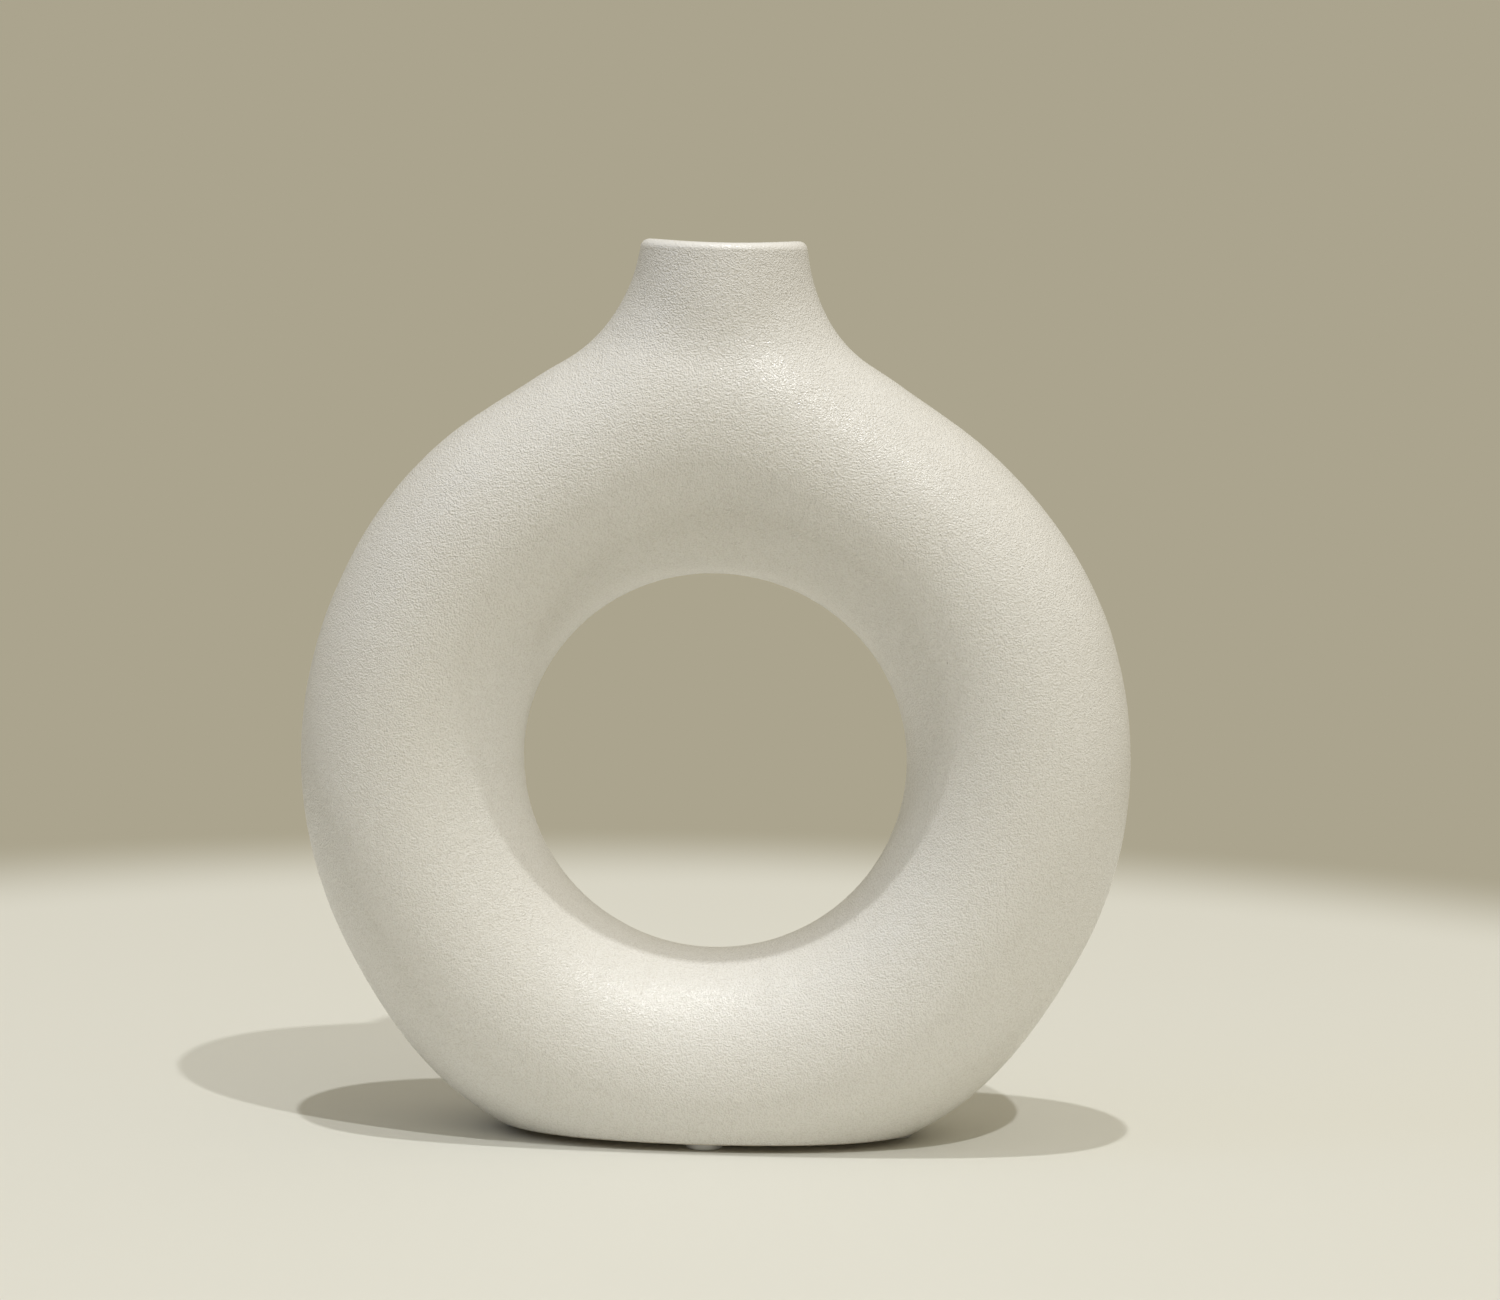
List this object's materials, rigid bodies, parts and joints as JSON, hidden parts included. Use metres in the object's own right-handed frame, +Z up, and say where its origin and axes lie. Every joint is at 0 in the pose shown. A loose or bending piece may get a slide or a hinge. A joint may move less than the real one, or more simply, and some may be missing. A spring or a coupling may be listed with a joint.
{
  "type": "ring-shaped flower vase",
  "caption": "White ceramic ring vase with an open centre, a short round neck for stems and a flat base that stands on clear stick-on bumper feet.",
  "frame": {"origin": "on the table, under the middle of the vase, at the undersides of the bumper feet", "axes": "+Z up along the neck, +X to the right, the front of the ring looks along -Y"},
  "size_m": [0.2, 0.058, 0.2154],
  "materials": {
    "ceramic": "white sand-textured matte glaze, fired",
    "bumper": "clear soft polyurethane, smooth",
    "adhesive": "clear pressure-sensitive adhesive film"
  },
  "bodies": {
    "root": {"vase_body": "ceramic", "bumper_front": "bumper", "bumper_back": "bumper", "bumper_left": "bumper", "bumper_right": "bumper", "adhesive_front": "adhesive", "adhesive_back": "adhesive", "adhesive_left": "adhesive", "adhesive_right": "adhesive"}
  },
  "joints": []
}
